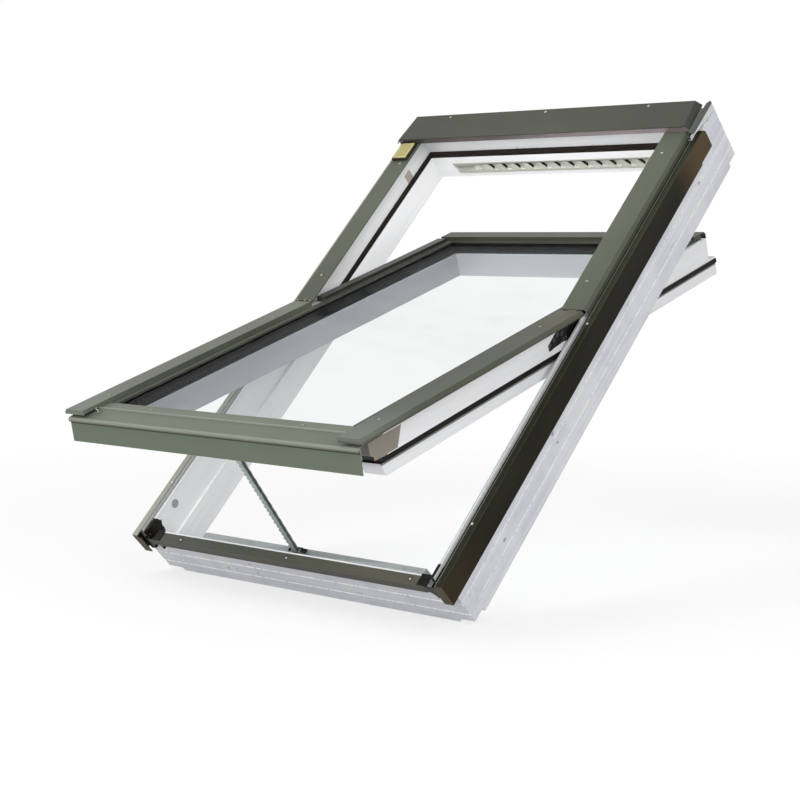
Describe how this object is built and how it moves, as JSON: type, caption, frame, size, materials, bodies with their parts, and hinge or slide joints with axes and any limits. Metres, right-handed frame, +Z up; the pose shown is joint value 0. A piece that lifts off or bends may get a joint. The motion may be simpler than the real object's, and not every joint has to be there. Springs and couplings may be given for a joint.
{
  "type": "centre pivot roof window",
  "caption": "Timber centre pivot roof window with metal cladding, its glazed sash held open at the lower edge by a push chain.",
  "frame": {"origin": "middle of the flat outer face of the sill rail, half way through the frame's depth", "axes": "+X to the right seen from outside, +Z up, +Y into the building; the frame is pitched 45 degrees as in a roof"},
  "size_m": [0.7832, 1.1257, 0.9409],
  "materials": {
    "black_plastic": "matt moulded",
    "black_rubber": "matt",
    "black_steel": "black",
    "brown_metal": "satin powder coat",
    "chain_steel": "zinc plated",
    "fitting": "beige plate",
    "galvanised": "galvanised",
    "glass": "clear",
    "housing_grey": "anodised",
    "olive_metal": "satin powder coat",
    "sensor": "gold-coloured sensor plate",
    "spacer": "matt black edge seal",
    "vent_grey": "satin",
    "white_timber": "satin white lacquer over laminated pine"
  },
  "bodies": {
    "frame": {"sill_rail": "white_timber", "head_rail": "white_timber", "left_jamb": "white_timber", "right_jamb": "white_timber", "frame_gasket": "black_rubber", "left_jamb_cladding": "brown_metal", "right_jamb_cladding": "brown_metal", "sill_cladding": "olive_metal", "left_corner_cap": "black_plastic", "right_corner_cap": "black_plastic", "left_upper_cover": "olive_metal", "right_upper_cover": "olive_metal", "left_cover_carrier": "black_plastic", "right_cover_carrier": "black_plastic", "head_cover": "olive_metal", "head_cover_carrier": "galvanised", "rain_sensor": "sensor", "vent_strip": "vent_grey", "latch_plate": "fitting", "chain_drive_housing": "housing_grey", "left_hinge_fixed": "black_steel", "right_hinge_fixed": "black_steel", "left_edge_seal": "black_rubber", "right_edge_seal": "black_rubber"},
    "sash": {"sash_bottom_rail": "white_timber", "sash_top_rail": "white_timber", "left_stile": "white_timber", "right_stile": "white_timber", "outer_pane": "glass", "inner_pane": "glass", "glazing_spacer": "spacer", "sash_bottom_cover": "olive_metal", "left_sash_cover": "olive_metal", "right_sash_cover": "olive_metal", "left_glazing_profile": "olive_metal", "right_glazing_profile": "olive_metal", "top_glazing_profile": "olive_metal", "chain_bracket": "black_steel", "left_hinge_moving": "black_steel", "right_hinge_moving": "black_steel", "left_corner_plate": "fitting", "right_corner_plate": "fitting", "sash_gasket": "black_rubber"},
    "chain": {"push_chain": "chain_steel"}
  },
  "joints": [
    {"name": "sash_pivot", "type": "hinge", "parent": "frame", "child": "sash", "pos_m": [0, 0.39244, 0.49002], "axis": [1, 0, 0], "range_deg": [0, 27.5]},
    {"name": "chain_swing", "type": "hinge", "parent": "frame", "child": "chain", "pos_m": [0, 0.02475, 0.03606], "axis": [1, 0, 0], "range_deg": [0, 13.75], "deforming": ["push_chain"]}
  ],
  "couplings": [
    {"joint": "chain_swing", "follows": "sash_pivot", "ratio": 0.5}
  ]
}
